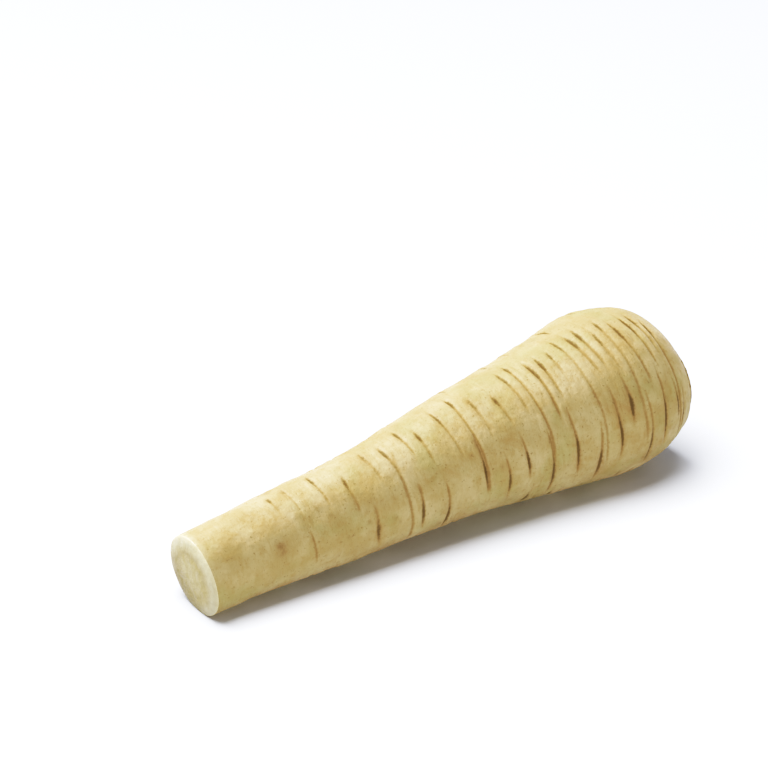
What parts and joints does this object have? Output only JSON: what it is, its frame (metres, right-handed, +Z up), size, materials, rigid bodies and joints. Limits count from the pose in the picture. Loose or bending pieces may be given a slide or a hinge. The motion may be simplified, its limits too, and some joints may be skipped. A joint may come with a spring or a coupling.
{
  "type": "parsnip",
  "caption": "Raw whole parsnip lying on its side: a cream, tapered root with a cut tip and a trimmed crown.",
  "frame": {"origin": "on the resting plane, under the middle of the root's bounding box", "axes": "+Z up; X along the root, the trimmed crown toward +X and the cut tip toward -X"},
  "size_m": [0.1836, 0.0554, 0.0544],
  "materials": {
    "parsnip": "matte cream skin with tan transverse lines, pale cut flesh at both ends"
  },
  "bodies": {
    "root": {"parsnip": "parsnip"}
  },
  "joints": []
}
